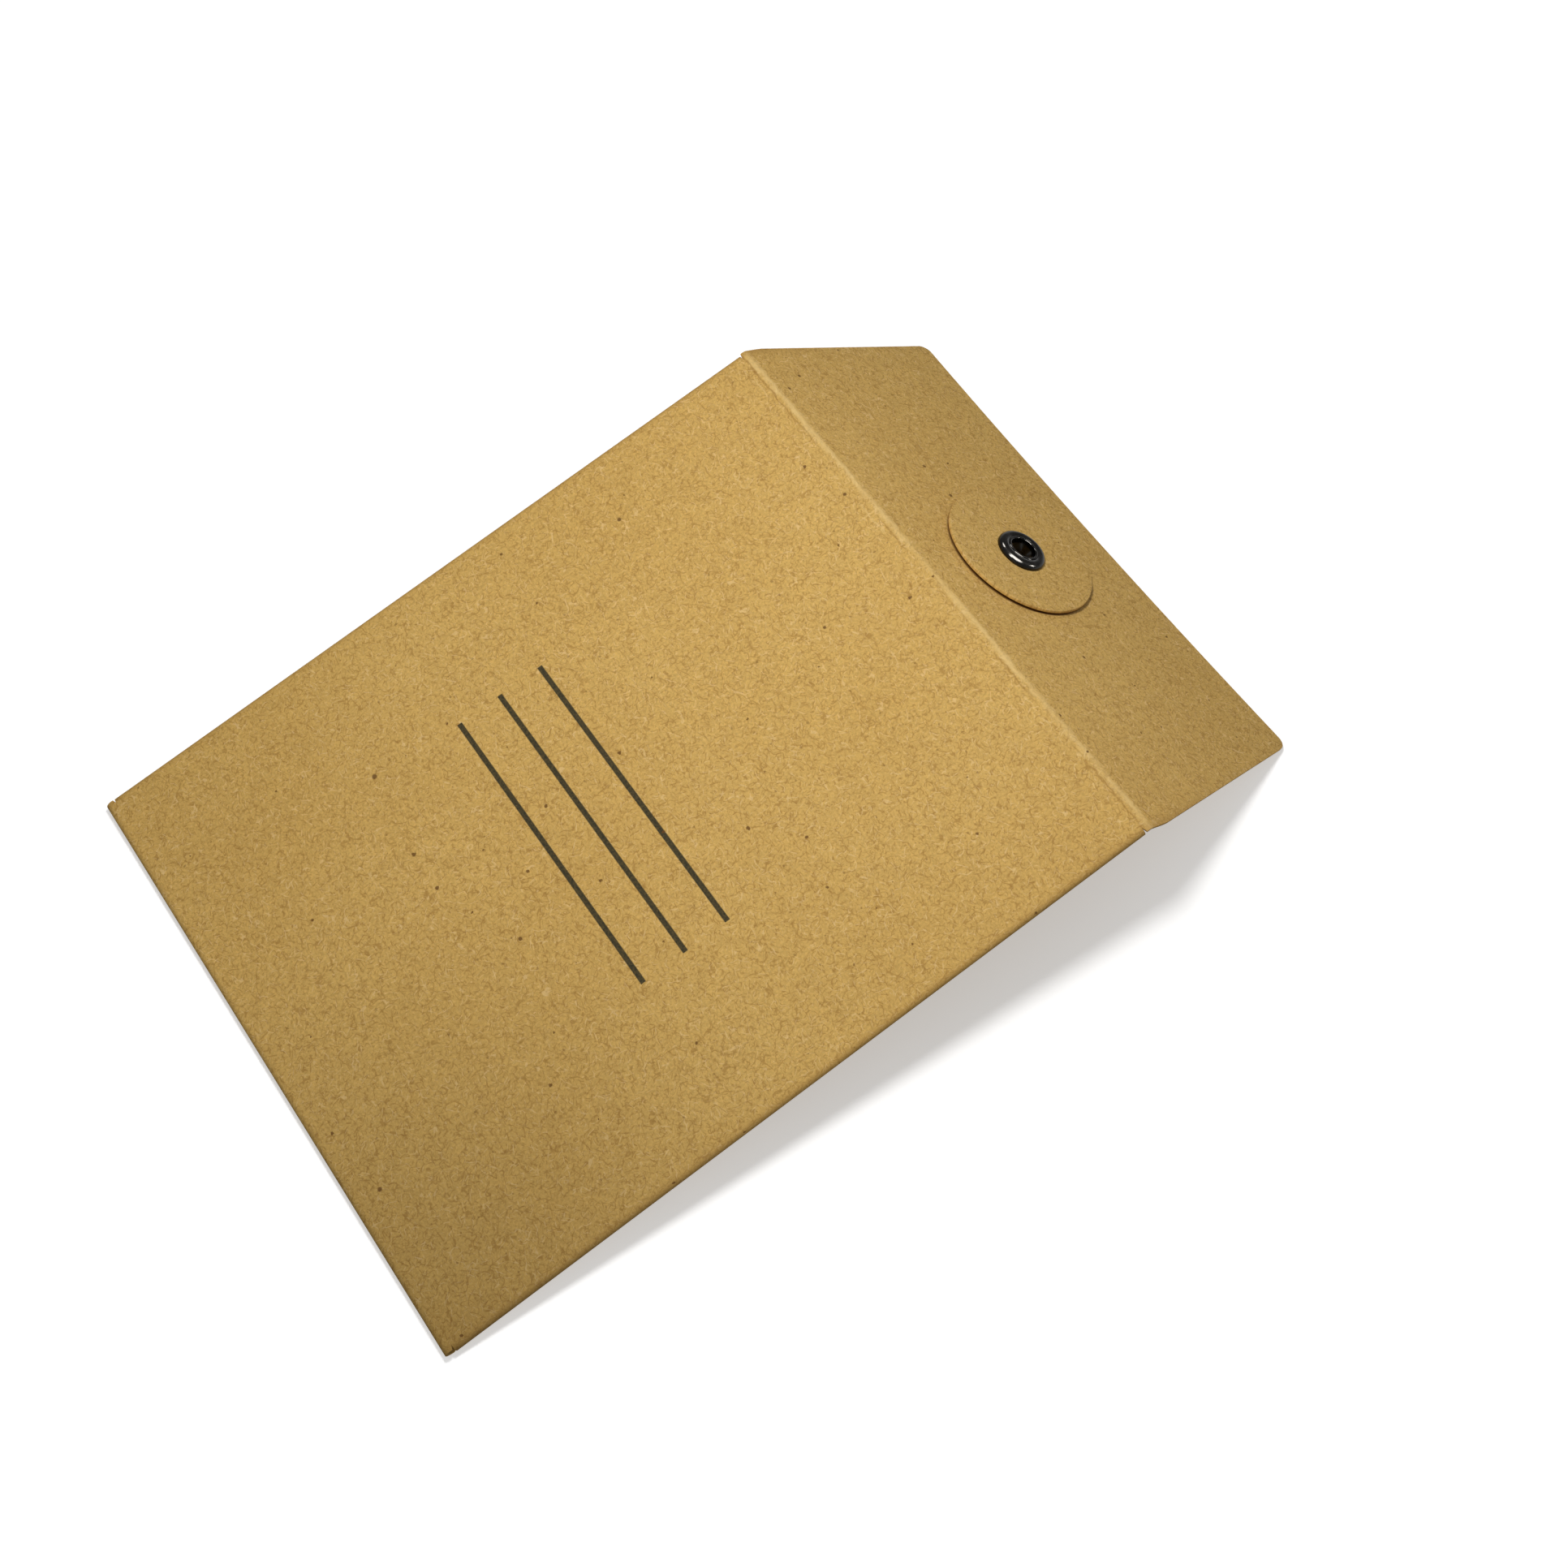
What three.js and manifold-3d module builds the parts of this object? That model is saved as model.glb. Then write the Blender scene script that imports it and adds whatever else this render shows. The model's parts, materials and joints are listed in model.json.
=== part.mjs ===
// A string and button envelope: one sheet of kraft card, folded and glued into a pocket with a closing
// flap, and a round card button on the flap and on the back panel, each clamped by a pressed metal eyelet.
// Its creases hold it half open, so it stands as a low tent on its bottom fold and its flap's outer edge.
// Lengths are in millimetres and angles in degrees. +Z is up, with the origin on the surface it stands on.
import * as THREE from "three";
import { mergeVertices } from "three/addons/utils/BufferGeometryUtils.js";
import Module from "manifold-3d";

const wasm = await Module();
wasm.setup();

// The sheet
const cardThickness = 0.45;
const panelWidth = 100; // over the side folds
const panelHeight = 121.5; // from the bottom fold to the flap's crease
const pocketDepth = 0.9; // free space between the front panel and the laps
const glueBite = 0.03; // how far a glued lap sinks into the back panel

// The closing flap
const flapAngle = 41.8; // how far the flap is bent back from the front panel's plane
const flapDepth = 42; // from the crease to its outer edge
const flapRootWidth = 101; // between its side lines, where they would reach the crease
const flapTipWidth = 93.4;
const flapCornerRadius = 1.8;
const flapShoulder = 3.5; // the side lines leave the crease's ends over this length
const flapEdgeHollow = 1; // how far the outer edge curves in at its middle
const creaseRadius = 1.2;

// The side folds, the laps and the back panel
const lapWidth = 14;
const lapEndAngle = 25;
const neckLength = 0.35; // from a side fold's ends to the crease's bend and to the bottom fold's bend
const cornerInset = 0.3; // of the bottom fold's ends, inside the side folds
const backInset = 1.3; // of the back panel's cut sides, inside the side folds
const mouthSetback = 2.5; // from the crease down to the back panel's top edge
const mouthCornerRadius = 4;

// The buttons
const buttonDiameter = 25.8;
const buttonThickness = 0.6;
const buttonDish = 0.25; // how much the rim stands off, because the eyelet pulls the middle down
const buttonEdgeRound = 0.12;
const flapButtonFromCrease = 20.4;
const windingGap = 8; // from the closed flap's edge to the back button's rim

// The eyelets
const eyeletHole = 4.3;
const eyeletWall = 0.3;
const flangeDiameter = 8.4;
const flangeHeight = 1;
const lipWidth = 0.45; // of the raised ring round the hole
const lipHeight = 0.15;
const grooveDepth = 0.2; // below the flange's crown, between it and the ring
const clinchDiameter = 7;
const clinchHeight = 0.65;
const seatGap = 0.1; // between pieces that are clamped together

// Facets
const sheetColumns = 8;
const foldSteps = 10;
const creaseSteps = 6;
const cornerSteps = 5;
const buttonFacets = 64;
const eyeletFacets = 32;
const curveSteps = 3; // of a quarter turn

const bend = THREE.MathUtils.degToRad(flapAngle);
const creaseTangent = creaseRadius * Math.tan(bend / 2); // from the crease line to where the bend ends
const sideFoldRadius = cardThickness + pocketDepth / 2;
const pocketThickness = 2 * sideFoldRadius + cardThickness - glueBite;
const bottomFoldRadius = pocketThickness / 2;
const barrelRadius = eyeletHole / 2 + eyeletWall;
const clearHoleRadius = barrelRadius + seatGap;
const buttonRadius = buttonDiameter / 2;
const backButtonFromCrease = flapDepth + windingGap + buttonRadius;

const kraft = new THREE.MeshStandardMaterial({ color: 0xb8955a, roughness: 0.85, metalness: 0 });
const buttonCard = new THREE.MeshStandardMaterial({ color: 0xb08c50, roughness: 0.85, metalness: 0 });
const blackNickel = new THREE.MeshStandardMaterial({ color: 0x1b1a19, roughness: 0.22, metalness: 1 });

// Walks along the outer face of bent card in its section plane, with that face on the walker's right.
// Each stop has the face's point, the walker's direction and the distance walked.
function walkSection(start, heading, steps) {
  const stops = [];
  const at = start.clone();
  let angle = heading;
  let walked = 0;
  const note = () => {
    const along = new THREE.Vector2(Math.cos(angle), Math.sin(angle));
    stops.push({ point: at.clone(), along, walked });
  };
  note();
  for (const { length = 0, turn = 0, radius = 0, count = 1 } of steps) {
    const half = turn / count / 2;
    const chord = turn ? 2 * radius * Math.sin(half) : length / count;
    for (let i = 0; i < count; i++) {
      at.x += chord * Math.cos(angle + half);
      at.y += chord * Math.sin(angle + half);
      angle += 2 * half;
      walked += turn ? 2 * half * radius : chord;
      note();
    }
  }
  return stops;
}

// A strip of card over the walked stops, with its section in Y and Z. It reaches across, along X, from low
// to high at each stop, and slip moves the middle of a stop's line along the walk.
function cardStrip(stops, columns) {
  const positions = [];
  for (const { point, along, low, high, slip = 0 } of stops) {
    for (const depth of [0, cardThickness]) {
      for (let i = 0; i <= columns; i++) {
        const share = i / columns;
        const shift = slip * (1 - (2 * share - 1) ** 2);
        positions.push(
          THREE.MathUtils.lerp(low, high, share),
          point.x + along.x * shift - along.y * depth,
          point.y + along.y * shift + along.x * depth,
        );
      }
    }
  }
  const outer = (row, column) => 2 * row * (columns + 1) + column;
  const inner = (row, column) => outer(row, column) + columns + 1;
  const last = stops.length - 1;
  const index = [];
  const quad = (a, b, c, d) => index.push(a, b, c, a, c, d);
  for (let j = 0; j < last; j++) {
    for (let i = 0; i < columns; i++) {
      quad(outer(j, i), outer(j + 1, i), outer(j + 1, i + 1), outer(j, i + 1));
      quad(inner(j, i), inner(j, i + 1), inner(j + 1, i + 1), inner(j + 1, i));
    }
    quad(outer(j, 0), inner(j, 0), inner(j + 1, 0), outer(j + 1, 0));
    quad(outer(j, columns), outer(j + 1, columns), inner(j + 1, columns), inner(j, columns));
  }
  for (let i = 0; i < columns; i++) {
    quad(outer(0, i), outer(0, i + 1), inner(0, i + 1), inner(0, i));
    quad(outer(last, i), inner(last, i), inner(last, i + 1), outer(last, i + 1));
  }
  const geometry = new THREE.BufferGeometry();
  geometry.setAttribute("position", new THREE.Float32BufferAttribute(positions, 3));
  geometry.setIndex(index);
  return geometry;
}

function solidFrom(geometry) {
  const bare = geometry.clone();
  bare.deleteAttribute("normal");
  bare.deleteAttribute("uv");
  const merged = mergeVertices(bare, 1e-4);
  return new wasm.Manifold(
    new wasm.Mesh({
      numProp: 3,
      vertProperties: new Float32Array(merged.attributes.position.array),
      triVerts: new Uint32Array(merged.index.array),
    }),
  );
}

function geometryFrom(solid) {
  const { vertProperties, triVerts } = solid.getMesh();
  const geometry = new THREE.BufferGeometry();
  geometry.setAttribute("position", new THREE.BufferAttribute(vertProperties, 3));
  geometry.setIndex(new THREE.BufferAttribute(triVerts, 1));
  geometry.computeVertexNormals();
  return geometry;
}

// Half the width of a strip with rounded corners, at a distance in from its end.
function roundedHalf(half, radius, distance) {
  const short = Math.max(0, radius - distance);
  return half - radius + Math.sqrt(radius * radius - short * short);
}

// Distances in from a strip's end that draw a rounded corner.
function cornerLines(radius) {
  const lines = [];
  for (let i = 0; i <= cornerSteps; i++) {
    lines.push(radius * (1 - Math.cos((i / cornerSteps) * (Math.PI / 2))));
  }
  return lines;
}

// The steps of a walk between lines across a flat stretch.
function flatSteps(lines) {
  return lines.slice(1).map((line, i) => ({ length: line.at - lines[i].at }));
}

// The strip from the flap's outer edge over the crease, down the front panel, round the bottom fold and
// up the back panel to the mouth.
function mainStrip() {
  const fullHalf = panelWidth / 2;
  const frontHalf = fullHalf - sideFoldRadius;
  const bottomHalf = fullHalf - cornerInset;
  const flapFlat = flapDepth - creaseTangent;
  const frontFlat = panelHeight - creaseTangent - bottomFoldRadius;
  const backFlat = panelHeight - mouthSetback - bottomFoldRadius;

  const flapHalf = (at) => {
    const sideLine = THREE.MathUtils.lerp(flapTipWidth, flapRootWidth, at / flapDepth) / 2;
    return roundedHalf(sideLine, flapCornerRadius, at);
  };
  const flapLines = [...cornerLines(flapCornerRadius), flapFlat / 2, flapFlat - flapShoulder].map((at) => ({
    at,
    half: flapHalf(at),
  }));
  flapLines.push({ at: flapFlat, half: fullHalf });

  const frontLines = [
    { at: 0, half: fullHalf },
    { at: neckLength, half: fullHalf },
    { at: neckLength + sideFoldRadius, half: frontHalf },
    { at: frontFlat - neckLength - sideFoldRadius, half: frontHalf },
    { at: frontFlat - neckLength, half: bottomHalf },
    { at: frontFlat, half: bottomHalf },
  ];

  const mouthLines = cornerLines(mouthCornerRadius).reverse();
  const backLines = [
    { at: 0, half: bottomHalf },
    { at: 2 * backInset, half: fullHalf - backInset },
    ...mouthLines.map((fromMouth) => ({
      at: backFlat - fromMouth,
      half: roundedHalf(fullHalf - backInset, mouthCornerRadius, fromMouth),
    })),
  ];

  const tip = new THREE.Vector2(panelHeight + flapDepth * Math.cos(bend), -flapDepth * Math.sin(bend));
  const stops = walkSection(tip, Math.PI - bend, [
    ...flatSteps(flapLines),
    { turn: bend, radius: creaseRadius, count: creaseSteps },
    ...flatSteps(frontLines),
    { turn: Math.PI, radius: bottomFoldRadius, count: foldSteps },
    ...flatSteps(backLines),
  ]);
  const halves = [
    ...flapLines.map(({ half }) => half),
    ...Array(creaseSteps - 1).fill(fullHalf),
    ...frontLines.map(({ half }) => half),
    ...Array(foldSteps - 1).fill(bottomHalf),
    ...backLines.map(({ half }) => half),
  ];
  stops.forEach((stop, i) => {
    stop.low = -halves[i];
    stop.high = halves[i];
    stop.slip = flapEdgeHollow * Math.max(0, 1 - stop.walked / flapFlat);
  });
  return cardStrip(stops, sheetColumns);
}

// A side fold with its glue lap, from the lap's free edge round into the front panel. side is 1 or -1.
function sideLap(side) {
  const foldAt = panelWidth / 2 - sideFoldRadius;
  const stops = walkSection(new THREE.Vector2(foldAt - lapWidth, -2 * sideFoldRadius), 0, [
    { length: lapWidth },
    { turn: Math.PI, radius: sideFoldRadius, count: foldSteps },
    { length: 2 * cardThickness },
  ]);
  const slope = Math.tan(THREE.MathUtils.degToRad(lapEndAngle));
  for (const stop of stops) {
    const cut = slope * Math.max(0, lapWidth - stop.walked);
    const bottom = bottomFoldRadius + neckLength + cut;
    const top = panelHeight - creaseTangent - neckLength - cut;
    stop.low = side > 0 ? -top : bottom;
    stop.high = side > 0 ? -bottom : top;
  }
  return cardStrip(stops, 1).rotateZ((-side * Math.PI) / 2);
}

// The whole sheet, with a hole at each of the given places.
function foldedSheet(holePlaces) {
  const length = 6 * cardThickness;
  const cutter = new THREE.CylinderGeometry(clearHoleRadius, clearHoleRadius, length, eyeletFacets);
  cutter.rotateX(Math.PI / 2);
  let sheet = solidFrom(mainStrip()).add(solidFrom(sideLap(1))).add(solidFrom(sideLap(-1)));
  for (const place of holePlaces) {
    sheet = sheet.subtract(solidFrom(cutter.clone().applyMatrix4(place.matrixWorld)));
  }
  return geometryFrom(sheet);
}

// A card disc with a hole, dished so that its rim stands off the panel.
function buttonDisc() {
  const rise = (radius) => buttonDish * (radius / buttonRadius) ** 2;
  const flatRadius = buttonRadius - buttonEdgeRound;
  const faceRadii = [clearHoleRadius, flatRadius / 2, (flatRadius * 3) / 4, flatRadius];
  const lower = faceRadii.map((radius) => new THREE.Vector2(radius, rise(radius)));
  const upper = faceRadii.map((radius) => new THREE.Vector2(radius, rise(radius) + buttonThickness)).reverse();
  const rim = [
    new THREE.Vector2(buttonRadius, rise(buttonRadius) + buttonEdgeRound),
    new THREE.Vector2(buttonRadius, rise(buttonRadius) + buttonThickness - buttonEdgeRound),
  ];
  return new THREE.LatheGeometry([...lower, ...rim, ...upper, lower[0]], buttonFacets).rotateX(Math.PI / 2);
}

// A pressed eyelet on the Z axis: a domed flange seated at zero, a ring round the hole, a barrel through
// the grip below, and a clinch rolled outwards under it.
function eyelet(grip) {
  const hole = eyeletHole / 2;
  const flange = flangeDiameter / 2;
  const groove = hole + lipWidth;
  const grooveTop = flangeHeight - grooveDepth;
  const domeEnd = Math.PI - Math.asin(grooveTop / flangeHeight);
  const domeHalf = (flange - groove) / (1 - Math.cos(domeEnd));
  const clinchHalf = (clinchDiameter / 2 - hole) / 2;
  const domeMiddle = flange - domeHalf;
  const clinchMiddle = hole + clinchHalf;

  const profile = new THREE.Path();
  profile.moveTo(flange, 0);
  profile.absellipse(domeMiddle, 0, domeHalf, flangeHeight, 0, domeEnd, false);
  profile.absellipse(hole + lipWidth / 2, grooveTop, lipWidth / 2, lipHeight, 0, Math.PI, false);
  profile.lineTo(hole, -grip);
  profile.absellipse(clinchMiddle, -grip, clinchHalf, clinchHeight, Math.PI, 2 * Math.PI, false);
  const underHalf = clinchHalf - eyeletWall;
  profile.lineTo(clinchMiddle + underHalf, -grip);
  profile.absellipse(clinchMiddle, -grip, underHalf, clinchHeight - eyeletWall, 2 * Math.PI, Math.PI, true);
  profile.lineTo(barrelRadius, 0);
  const shellHalf = Math.min(domeHalf - eyeletWall, domeMiddle - barrelRadius);
  profile.lineTo(domeMiddle - shellHalf, 0);
  profile.absellipse(domeMiddle, 0, domeHalf - eyeletWall, flangeHeight - eyeletWall, Math.PI, 0, true);
  profile.closePath();
  return new THREE.LatheGeometry(profile.getPoints(curveSteps), eyeletFacets).rotateX(Math.PI / 2);
}

// Places a button and its eyelet on a panel's outer face, which is the place's own plane.
function addButton(place, buttonName, eyeletName) {
  const disc = new THREE.Mesh(buttonDisc(), buttonCard);
  disc.name = buttonName;
  disc.position.z = seatGap;
  const flangeSeat = 2 * seatGap + buttonThickness;
  const fastener = new THREE.Mesh(eyelet(flangeSeat + cardThickness + seatGap), blackNickel);
  fastener.name = eyeletName;
  fastener.position.z = flangeSeat;
  place.add(disc, fastener);
}

// A group in its parent's frame at a height along the panel and a distance out of it, turned about X.
function placeOn(parent, y, z, turn) {
  const place = new THREE.Group();
  place.position.set(0, y, z);
  place.rotation.x = turn;
  parent.add(place);
  return place;
}

// The lean and place that set the bottom fold and the flap's lower edge on the ground.
function stand(pocket) {
  const tipY = panelHeight + flapDepth * Math.cos(bend);
  const tipZ = -flapDepth * Math.sin(bend);
  const reachY = tipY - cardThickness * Math.sin(bend) - bottomFoldRadius;
  const reachZ = tipZ - cardThickness * Math.cos(bend) + bottomFoldRadius;
  const lean = Math.asin(-bottomFoldRadius / Math.hypot(reachY, reachZ)) - Math.atan2(reachZ, reachY);
  const lowZ = bottomFoldRadius * (Math.sin(lean) - Math.cos(lean) - 1);
  const lowY = bottomFoldRadius * (Math.sin(lean) + Math.cos(lean) - 1);
  const highY = tipY * Math.cos(lean) - tipZ * Math.sin(lean);
  pocket.rotation.x = lean;
  pocket.position.set(0, -(lowY + highY) / 2, -lowZ);
}

const envelope = new THREE.Group();
const pocket = placeOn(envelope, 0, 0, 0);
const flap = placeOn(pocket, panelHeight, 0, -bend);
const flapButtonPlace = placeOn(flap, flapButtonFromCrease, 0, 0);
const backButtonPlace = placeOn(pocket, panelHeight - backButtonFromCrease, -pocketThickness, Math.PI);
envelope.updateMatrixWorld(true);

const sheet = new THREE.Mesh(foldedSheet([flapButtonPlace, backButtonPlace]), kraft);
sheet.name = "envelope_sheet";
pocket.add(sheet);
addButton(flapButtonPlace, "flap_button", "flap_eyelet");
addButton(backButtonPlace, "back_button", "back_eyelet");
stand(pocket);

export default envelope;
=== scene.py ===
import json
import math

import bmesh
import bpy
from mathutils import Matrix, Vector


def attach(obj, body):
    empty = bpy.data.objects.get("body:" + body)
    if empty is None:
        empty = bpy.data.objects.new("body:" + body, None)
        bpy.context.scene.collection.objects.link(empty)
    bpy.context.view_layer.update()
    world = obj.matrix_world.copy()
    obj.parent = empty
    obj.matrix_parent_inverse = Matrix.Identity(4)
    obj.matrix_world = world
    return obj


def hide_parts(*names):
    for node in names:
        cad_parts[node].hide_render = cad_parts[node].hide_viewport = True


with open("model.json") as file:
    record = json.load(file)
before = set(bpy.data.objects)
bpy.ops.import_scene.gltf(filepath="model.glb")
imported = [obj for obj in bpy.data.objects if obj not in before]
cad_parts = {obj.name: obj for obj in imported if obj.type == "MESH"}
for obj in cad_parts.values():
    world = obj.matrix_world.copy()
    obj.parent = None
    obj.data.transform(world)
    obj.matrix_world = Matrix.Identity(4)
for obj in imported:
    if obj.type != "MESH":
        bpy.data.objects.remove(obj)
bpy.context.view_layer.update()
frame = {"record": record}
mm = 0.001

# Card sizes in millimetres, the same as the solids'.
card = {
    "thickness": 0.45,
    "width": 100,
    "height": 121.5,
    "pocket": 0.9,
    "glueBite": 0.03,
    "flapAngle": math.radians(41.8),
    "flapDepth": 42,
    "flapRoot": 101,
    "flapTip": 93.4,
    "flapCorner": 1.8,
    "flapShoulder": 3.5,
    "flapHollow": 1.0,
    "creaseRadius": 1.2,
    "lapWidth": 14,
    "lapAngle": math.radians(25),
    "neck": 0.35,
    "neckFlare": 0.25,
    "cornerInset": 0.3,
    "backInset": 1.3,
    "mouthSetback": 2.5,
    "mouthCorner": 4,
    "cutRound": 0.07,
    "cutSegments": 2,
    "gridAcross": 48,
    "gridUp": 56,
    "flapRows": 18,
    "backRows": 24,
    "creaseSteps": 8,
    "bottomSteps": 14,
    "sideSteps": 12,
}
sideRadius = card["thickness"] + card["pocket"] / 2
pocketThickness = 2 * sideRadius + card["thickness"] - card["glueBite"]
bottomRadius = pocketThickness / 2
creaseTangent = card["creaseRadius"] * math.tan(card["flapAngle"] / 2)
fullHalf = card["width"] / 2
frontHalf = fullHalf - sideRadius

# The pocket's own frame has X across, Y up the front panel and Z out of it. The front face's mount gives
# its lean and the height of its plane, and the mount is this far up the panel.
mount = frame["record"]["mounts"][0]
mountUpPanel = 60
lean = math.atan2(-mount["axis"][1], mount["axis"][2])
upPanel = Vector((0, math.cos(lean), math.sin(lean)))
pocketOrigin = Vector(mount["pos_m"]) - upPanel * mountUpPanel * mm
pocketMatrix = Matrix.Translation(pocketOrigin) @ Matrix.Rotation(lean, 4, "X")
creaseTurn = Matrix.Rotation(-card["flapAngle"], 4, "X")
creaseMatrix = Matrix.Translation((0, card["height"] * mm, 0)) @ creaseTurn
flapMatrix = pocketMatrix @ creaseMatrix
print("frame loaded, the pocket leans", round(math.degrees(lean), 2), "degrees")


def clearSelection():
    if bpy.context.object and bpy.context.object.mode != "OBJECT":
        bpy.ops.object.mode_set(mode="OBJECT")
    bpy.ops.object.select_all(action="DESELECT")


def takeNew(name):
    # the primitive that was just added
    obj = bpy.context.object
    obj.name = name
    obj.data.name = name
    return obj


def startEdit(obj, mode="VERT"):
    clearSelection()
    obj.select_set(True)
    bpy.context.view_layer.objects.active = obj
    bpy.ops.object.mode_set(mode="EDIT")
    bpy.ops.mesh.select_mode(type=mode)
    bpy.ops.mesh.select_all(action="DESELECT")


def pickVerts(obj, test):
    # selects the vertices whose place, in millimetres, passes the test
    bpy.ops.mesh.select_mode(type="VERT")
    bpy.ops.mesh.select_all(action="DESELECT")
    mesh = bmesh.from_edit_mesh(obj.data)
    for vert in mesh.verts:
        vert.select_set(test(vert.co / mm))
    mesh.select_flush(True)
    bmesh.update_edit_mesh(obj.data)


def pickEdges(obj, test):
    # selects the edges whose two ends pass the test
    bpy.ops.mesh.select_mode(type="EDGE")
    bpy.ops.mesh.select_all(action="DESELECT")
    mesh = bmesh.from_edit_mesh(obj.data)
    for edge in mesh.edges:
        edge.select_set(all(test(vert.co / mm) for vert in edge.verts))
    bmesh.update_edit_mesh(obj.data)


def near(a, b, slack=0.02):
    return abs(a - b) < slack


def extrudeRow(step, ratio=1):
    # pulls the selected row of edges on by a step in millimetres, then narrows or widens it
    bpy.ops.mesh.extrude_region_move(TRANSFORM_OT_translate={"value": Vector(step) * mm})
    if ratio != 1:
        bpy.ops.transform.resize(value=(ratio, 1, 1), center_override=(0, 0, 0))


def extrudeRows(direction, rows, halfNow):
    # rows are (distance from the first row, half width) pairs
    before = 0
    for distance, half in rows:
        extrudeRow(Vector(direction) * (distance - before), half / halfNow)
        before, halfNow = distance, half


def applyModifier(obj, kind, **settings):
    clearSelection()
    obj.select_set(True)
    bpy.context.view_layer.objects.active = obj
    modifier = obj.modifiers.new(kind.title(), kind)
    for name, value in settings.items():
        setattr(modifier, name, value)
    bpy.ops.object.modifier_apply(modifier=modifier.name)


def place(obj, matrix):
    clearSelection()
    obj.select_set(True)
    bpy.context.view_layer.objects.active = obj
    obj.matrix_world = matrix
    bpy.ops.object.transform_apply(location=True, rotation=True, scale=True)


def finishPiece(obj, matrix, material, slot, *nodes, smooth=30):
    place(obj, matrix)
    obj.data.materials.clear()
    obj.data.materials.append(material)
    bpy.ops.object.shade_smooth_by_angle(angle=math.radians(smooth))
    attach(obj, "root")
    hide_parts(*nodes)


# Places on the card's map in millimetres, so that a pattern follows the card over its folds. The inner face,
# the back and the discs have places of their own.
cardMap = {
    "unit": 100,
    "innerAside": 300,
    "backAside": 140,
    "discAside": 700,
    "discUp": {"flap": 40, "back": 90},
}


def paintUv(obj, place2d):
    layer = obj.data.uv_layers.new(name="cardMap")
    for face in obj.data.polygons:
        for index in face.loop_indices:
            u, v = place2d(obj.data.vertices[obj.data.loops[index].vertex_index].co / mm, face)
            layer.data[index].uv = (u / cardMap["unit"], v / cardMap["unit"])


def addNode(tree, kind, inputs=None, **settings):
    node = tree.nodes.new(kind)
    for name, value in settings.items():
        setattr(node, name, value)
    for name, value in (inputs or {}).items():
        socket = node.inputs[name]
        if isinstance(value, bpy.types.NodeSocket):
            tree.links.new(value, socket)
        else:
            socket.default_value = value
    return node


def calc(tree, operation, first, second=0.0, third=0.0, clamp=False):
    values = {0: first, 1: second, 2: third}
    node = addNode(tree, "ShaderNodeMath", values, operation=operation, use_clamp=clamp)
    return node.outputs[0]


def vectorCalc(tree, operation, first, second, third=(0, 0, 0)):
    values = {0: first, 1: second, 2: third}
    return addNode(tree, "ShaderNodeVectorMath", values, operation=operation).outputs[0]


def distanceTo(tree, vector, point):
    values = {0: vector, 1: point}
    return addNode(tree, "ShaderNodeVectorMath", values, operation="DISTANCE").outputs["Value"]


def ramp(tree, value, low, high, toLow=0.0, toHigh=1.0, smooth=False):
    node = addNode(
        tree,
        "ShaderNodeMapRange",
        {"Value": value, "From Min": low, "From Max": high, "To Min": toLow, "To Max": toHigh},
        interpolation_type="SMOOTHSTEP" if smooth else "LINEAR",
    )
    return node.outputs["Result"]


def mixColour(tree, factor, first, second, blend="MIX"):
    node = addNode(tree, "ShaderNodeMix", data_type="RGBA", blend_type=blend)
    for index, value in ((0, factor), (6, first), (7, second)):
        if isinstance(value, bpy.types.NodeSocket):
            tree.links.new(value, node.inputs[index])
        else:
            node.inputs[index].default_value = value
    return node.outputs[2]


def mixGrey(tree, value):
    return addNode(tree, "ShaderNodeCombineColor", {0: value, 1: value, 2: value}).outputs[0]


def layOver(tree, colour, mask, strength, over):
    # lays another colour over this one where the mask is
    return mixColour(tree, calc(tree, "MULTIPLY", mask, strength), colour, over)


def shade(tree, colour, brightness):
    return mixColour(tree, 1.0, colour, mixGrey(tree, brightness), "MULTIPLY")


def noise(tree, vector, scale, detail=2.0, roughness=0.5):
    node = addNode(
        tree,
        "ShaderNodeTexNoise",
        {"Vector": vector, "Scale": scale, "Detail": detail, "Roughness": roughness},
    )
    return node.outputs["Fac"]


def newGroup(name, inputs, outputs):
    tree = bpy.data.node_groups.new(name, "ShaderNodeTree")
    for socketName, kind, value in inputs:
        socket = tree.interface.new_socket(socketName, in_out="INPUT", socket_type=kind)
        if value is not None:
            socket.default_value = value
    for socketName, kind in outputs:
        tree.interface.new_socket(socketName, in_out="OUTPUT", socket_type=kind)
    return tree, tree.nodes.new("NodeGroupInput").outputs, tree.nodes.new("NodeGroupOutput").inputs


def useGroup(tree, group, inputs):
    node = addNode(tree, "ShaderNodeGroup", node_tree=group)
    for name, value in inputs.items():
        if isinstance(value, bpy.types.NodeSocket):
            tree.links.new(value, node.inputs[name])
        else:
            node.inputs[name].default_value = value
    return node.outputs


# Short curved hairs in a few directions, as raw pulp leaves in uncoated board. Vector is in millimetres.
fibre = {
    "directions": (8, 38, 71, 104, 133, 162),
    "longMm": 1.9,
    "wideMm": 0.26,
    "wanderMm": 1.3,
    "wanderScale": 0.45,
    "seedStep": 17.3,
    "contrast": 12.0,
}


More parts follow.
